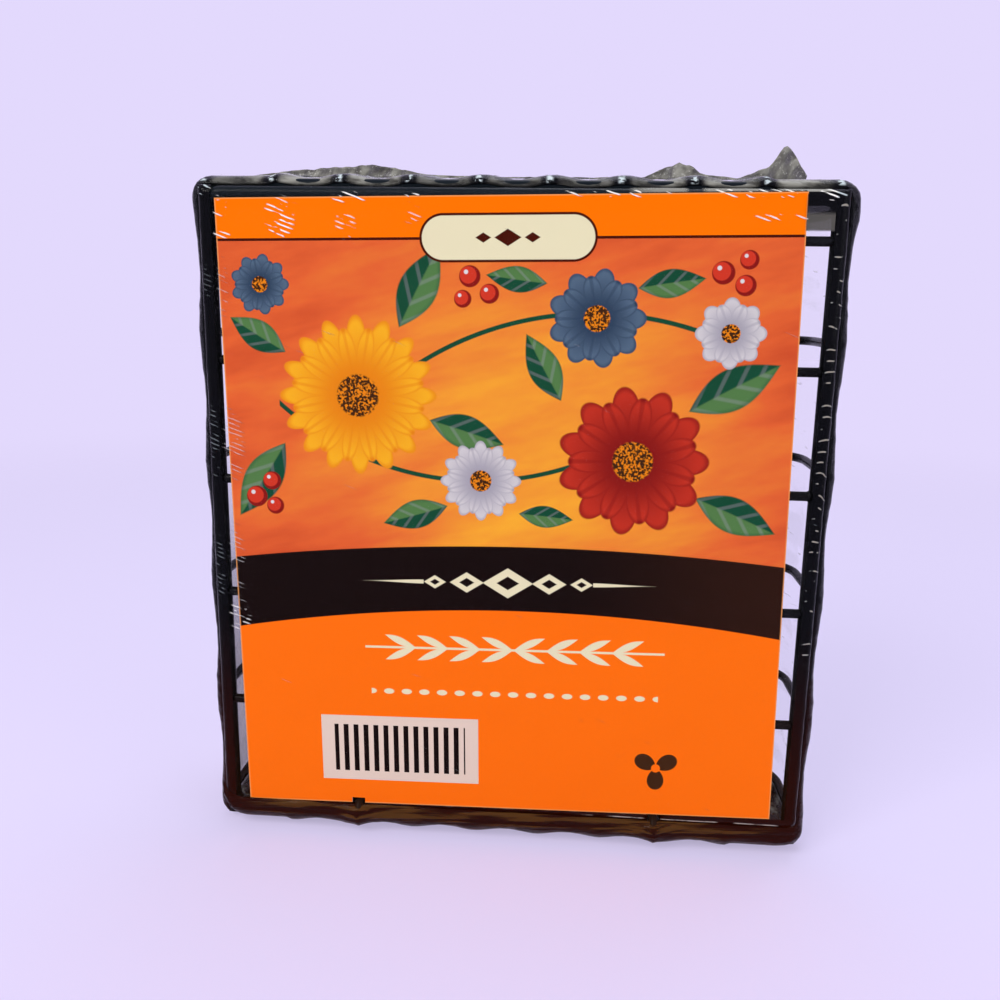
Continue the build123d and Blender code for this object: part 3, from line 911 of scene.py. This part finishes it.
def makeFrontFilm(finish):
    lip = frontFilm["bend"] * math.pi / 2 + frontFilm["tail"]
    half, high = frontFilm["turnSide"] + lip, frontFilm["turnTop"] + lip
    low = frontFilm["low"]
    piece = newMesh("front_film_sheet", bpy.ops.mesh.primitive_plane_add, size=1,
                    location=fromHinge(0, frontFilm["plane"], (low + high) / 2),
                    rotation=(math.pi / 2, 0, 0), across=(2 * half * mm, (high - low) * mm, 1))
    ring, notch = frontFilm["ringPlace"], frontFilm["notchHalf"]
    flatSide = frontFilm["turnSide"] - frontFilm["lipMargin"]
    flatTop = frontFilm["turnTop"] - frontFilm["lipMargin"]
    notchSides = [sign * ring + side * notch for sign in (-1, 1) for side in (-1, 1)]
    lipRows = steps(-half, -flatSide, frontFilm["lipGrid"]) + steps(flatSide, half, frontFilm["lipGrid"])

    def overRing(face):
        place = (face.calc_center_median() - hinge) / mm
        return abs(abs(place.x) - ring) < notch and place.z < frontFilm["notchTop"]

    bpy.ops.object.mode_set(mode="EDIT")
    cutRows(piece, 0, steps(-flatSide, flatSide, frontFilm["grid"]) + notchSides)
    cutRows(piece, 0, lipRows + [-flatSide, flatSide])
    cutRows(piece, 2, steps(low, flatTop, frontFilm["grid"]) + [frontFilm["notchTop"]])
    cutRows(piece, 2, [flatTop] + steps(flatTop, high, frontFilm["lipGrid"]))
    pick(piece, "FACE", overRing)
    bpy.ops.mesh.delete(type="FACE")
    bpy.ops.object.mode_set(mode="OBJECT")

    def roundTurn(past):  # how far a point past the turn comes to lie outwards and backwards
        angle = min(past / frontFilm["bend"], math.pi / 2)
        beyond = max(0.0, past - frontFilm["bend"] * math.pi / 2)
        return frontFilm["bend"] * math.sin(angle), frontFilm["bend"] * (1 - math.cos(angle)) + beyond

    def drawn(p, n):
        x, y, z = p
        pastSide, pastTop = max(0.0, abs(x) - frontFilm["turnSide"]), max(0.0, z - frontFilm["turnTop"])
        outSide, backSide = roundTurn(pastSide)
        outTop, backTop = roundTurn(pastTop)
        folds = crumple(x * 0.5, 0, z, 0.22, 5.0) * frontFilm["fold"]
        ripple = crumple(x * 0.2, 0, z, 0.6, 2.0) * frontFilm["ripple"] if pastSide > 0 else 0.0
        return Vector((math.copysign(min(abs(x), frontFilm["turnSide"]) + outSide + ripple, x),
                       y + max(backSide, backTop) - folds, min(z, frontFilm["turnTop"]) + outTop))

    reshape(piece, drawn)
    useModifier(piece, "SOLIDIFY", thickness=frontFilm["thickness"] * mm, offset=-1.0)
    ending(piece, "door", "clear_film", finish, "film_front")


tent = {
    "fromAngle": -63.0, "toAngle": -228.5, "rows": 26, "half": 65.9, "grid": 1.1, "thickness": 0.12,
    "radii": [  # degrees round the door's bottom rod, distance from it
        (-63.0, 5.72), (-80.0, 4.30), (-95.0, 3.45), (-120.0, 2.70), (-150.0, 2.35), (-180.0, 2.20),
        (-205.0, 2.55), (-228.5, 3.20),
    ],
    "ringPlace": 33.9, "ringRadius": 3.88, "ringSpread": 3.2, "loopSwell": 0.16, "fold": 0.12,
    "turn": 61.1, "turnRadius": 4.9, "cornerShare": (1.0, 0.35), "blank": 100.0,
    "basketEdge": (0, 2.5, -5.1), "doorEdge": (0, -2.1, 2.4),
}


def makeTent(finish):
    blank = tent["blank"]  # depth of the flat strip before it is rolled
    piece = newMesh("hinge_film_strip", bpy.ops.mesh.primitive_plane_add, size=1, location=fromHinge(0, 0, 0),
                    across=(2 * tent["half"] * mm, blank * mm, 1))
    bpy.ops.object.mode_set(mode="EDIT")
    cutRows(piece, 0, steps(-tent["half"], tent["half"], tent["grid"]))
    cutRows(piece, 1, steps(-blank / 2, blank / 2, blank / tent["rows"]))
    bpy.ops.object.mode_set(mode="OBJECT")

    def rolled(p, n):
        way = (p.y + blank / 2) / blank
        angle = tent["fromAngle"] + way * (tent["toAngle"] - tent["fromAngle"])
        bow = math.sin(math.pi * way)
        radius = follow(tent["radii"], angle)
        onRing = math.exp(-abs(abs(p.x) - tent["ringPlace"]) / tent["ringSpread"])
        radius += max(0.0, tent["ringRadius"] - radius) * onRing * min(1.0, 2.2 * bow)
        radius += (1 - between(p.x, wires["loopPitch"], 0.5)) ** 6 * tent["loopSwell"] * bow
        radius += (crumple(p.x, angle * 0.1, 0, 0.3, 4.0) - 0.5) * tent["fold"] * bow
        sag = bag["sagLow"] * betweenLoops(p.x) * (1 - way) ** 3  # as the bag's bottom, where they meet
        turn = math.radians(angle)
        past = min(max(0.0, abs(p.x) - tent["turn"]), tent["turnRadius"] * 0.98)
        climb = tent["turnRadius"] - math.sqrt(tent["turnRadius"] ** 2 - past ** 2)
        climb *= tent["cornerShare"][p.x > 0]
        return Vector((p.x, radius * math.cos(turn), sag + radius * math.sin(turn) + climb))

    reshape(piece, rolled)
    useModifier(piece, "SOLIDIFY", thickness=tent["thickness"] * mm, offset=0.0)
    ending(piece, None, "clear_film", finish)
    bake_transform(piece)


fin = {
    "place": 24.0, "low": 144.15, "height": 6.9, "half": 68.45, "blank": 10.0, "grid": 0.75, "rows": 5,
    "ruffle": 0.9, "ragged": 0.16, "thickness": 0.16,
    "heights": [  # share of the half width, share of the height
        (-0.923, 0.02), (-0.742, 0.235), (-0.643, 0.30), (-0.529, 0.38), (-0.497, 0.39), (-0.431, 0.31),
        (-0.316, 0.09), (0.0, 0.04), (0.392, 0.05), (0.432, 0.26), (0.489, 0.46), (0.505, 0.50),
        (0.545, 0.39), (0.571, 0.18), (0.694, 0.05), (0.736, 0.19), (0.785, 0.40), (0.812, 0.66),
        (0.838, 0.97), (0.853, 1.05), (0.868, 0.85), (0.884, 0.46), (0.91, 0.12),
    ],
}


def makeFin(finish):
    start, end = fin["heights"][0][0] * fin["half"], fin["heights"][-1][0] * fin["half"]
    blank = fin["blank"]  # height of the flat strip before it is gathered
    piece = newMesh("gathered_seam", bpy.ops.mesh.primitive_plane_add, size=1,
                    location=fromHinge((start + end) / 2, fin["place"], fin["low"] + blank / 2),
                    rotation=(math.pi / 2, 0, 0), across=((end - start) * mm, blank * mm, 1))
    bpy.ops.object.mode_set(mode="EDIT")
    cutRows(piece, 0, steps(start, end, fin["grid"]))
    cutRows(piece, 2, [fin["low"] + blank * k / fin["rows"] for k in range(1, fin["rows"])])
    bpy.ops.object.mode_set(mode="OBJECT")

    def gathered(p, n):
        tall = follow(fin["heights"], p.x / fin["half"])
        way = (p.z - fin["low"]) / blank
        ragged = 1 + fin["ragged"] * noise.noise(Vector((p.x * 0.6, 0, 1.5)))
        waves = noise.noise(Vector((p.x * 0.35, 0, way * 0.8))) * fin["ruffle"] * (0.3 + way)
        return Vector((p.x, fin["place"] + waves, fin["low"] + way * tall * ragged * fin["height"]))

    reshape(piece, gathered)
    useModifier(piece, "SOLIDIFY", thickness=fin["thickness"] * mm, offset=0.0)
    ending(piece, "basket", "clear_film", finish, "film_seam")


bead = {"long": 1.25, "thick": 0.8, "sides": 10, "rings": 6, "sink": 0.1, "capDrop": 0.8}


def makeBeads(name, body, finish, places):  # one weld bead at each place, flat along its given direction
    first = newMesh(name, bpy.ops.mesh.primitive_uv_sphere_add, segments=bead["sides"],
                    ring_count=bead["rings"], radius=bead["long"] * mm, location=(0, 0, 0))
    shape = [v.co.copy() for v in first.data.vertices]
    faces = [tuple(face.vertices) for face in first.data.polygons]
    points, allFaces = [], []
    for k, (place, flat) in enumerate(places):
        turned = flat.to_track_quat("Z", "X").to_matrix()
        size = 0.9 + 0.2 * noise.noise(Vector((k * 1.7, 0.3, 0.9)))
        start = len(points)
        for co in shape:
            points.append(place + turned @ Vector((co.x, co.y, co.z * bead["thick"] / bead["long"])) * size)
        allFaces += [[start + i for i in face] for face in faces]
    mesh = bpy.data.meshes.new(name)
    mesh.from_pydata(points, [], allFaces)
    first.data = mesh
    ending(first, body, "black_wire", finish)


def boxes(name, count):
    return [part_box(f"{name}_{k}") for k in range(1, count + 1)]


def makeAllBeads(finish):
    level, loop = boxes("basket_level_wire", 6), boxes("basket_loop_wire", 8)
    bars, uprights = boxes("door_bar", 5), boxes("door_upright", 8)
    rimLow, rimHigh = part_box("basket_rim")
    wire = wires["rod"] * mm
    ahead, upward, sideways = Vector((0, 1, 0)), Vector((0, 0, 1)), Vector((1, 0, 0))
    basketPlaces, doorPlaces = [], []
    for low, high in level:
        z = (low.z + high.z) / 2
        for x in (low.x + wire / 2, high.x - wire / 2):
            basketPlaces.append((Vector((x, rimHigh.y + bead["sink"] * mm, z)), ahead))
        for loopLow, loopHigh in loop:
            basketPlaces.append((Vector(((loopLow.x + loopHigh.x) / 2, high.y, z)), ahead))
    for low, high in loop:
        x = (low.x + high.x) / 2
        basketPlaces.append((Vector((x, rimHigh.y, high.z - wire * bead["capDrop"])), ahead))
        basketPlaces.append((Vector((x, (rimLow.y + rimHigh.y) / 2, rimLow.z)), upward))
    for low, high in uprights:
        x = (low.x + high.x) / 2
        doorPlaces.append((Vector((x, high.y - wire / 2, low.z)), upward))
        doorPlaces.append((Vector((x, high.y - wire / 2, high.z)), upward))
    for low, high in bars:
        z = (low.z + high.z) / 2
        for x in (low.x, high.x):
            doorPlaces.append((Vector((x, (low.y + high.y) / 2, z)), sideways))
        for upLow, upHigh in uprights:
            doorPlaces.append((Vector(((upLow.x + upHigh.x) / 2, high.y, z)), ahead))
    makeBeads("basket_welds", "basket", finish, basketPlaces)
    makeBeads("door_welds", "door", finish, doorPlaces)


makeStudio()
wireCoat, zinc, printed = makePowderCoat(), makeZinc(), makePrint()
doorFilm, bagFilm = makeDoorFilm(), makeBagFilm()
finFilm, tentFilm = makeFinFilm(), makeTentFilm()
bySlot = {"black_wire": wireCoat, "plated_chain": zinc, "printed_card": printed, "clear_film": bagFilm}
for row in frame["record"]["subparts"]:
    dress(row["node"], bySlot[row["material_slot"]])
print("finishes ready")

makeBag(bagFilm)
makeFrontFilm(doorFilm)
makeTent(tentFilm)
makeFin(finFilm)
makeAllBeads(wireCoat)
print("pieces ready")
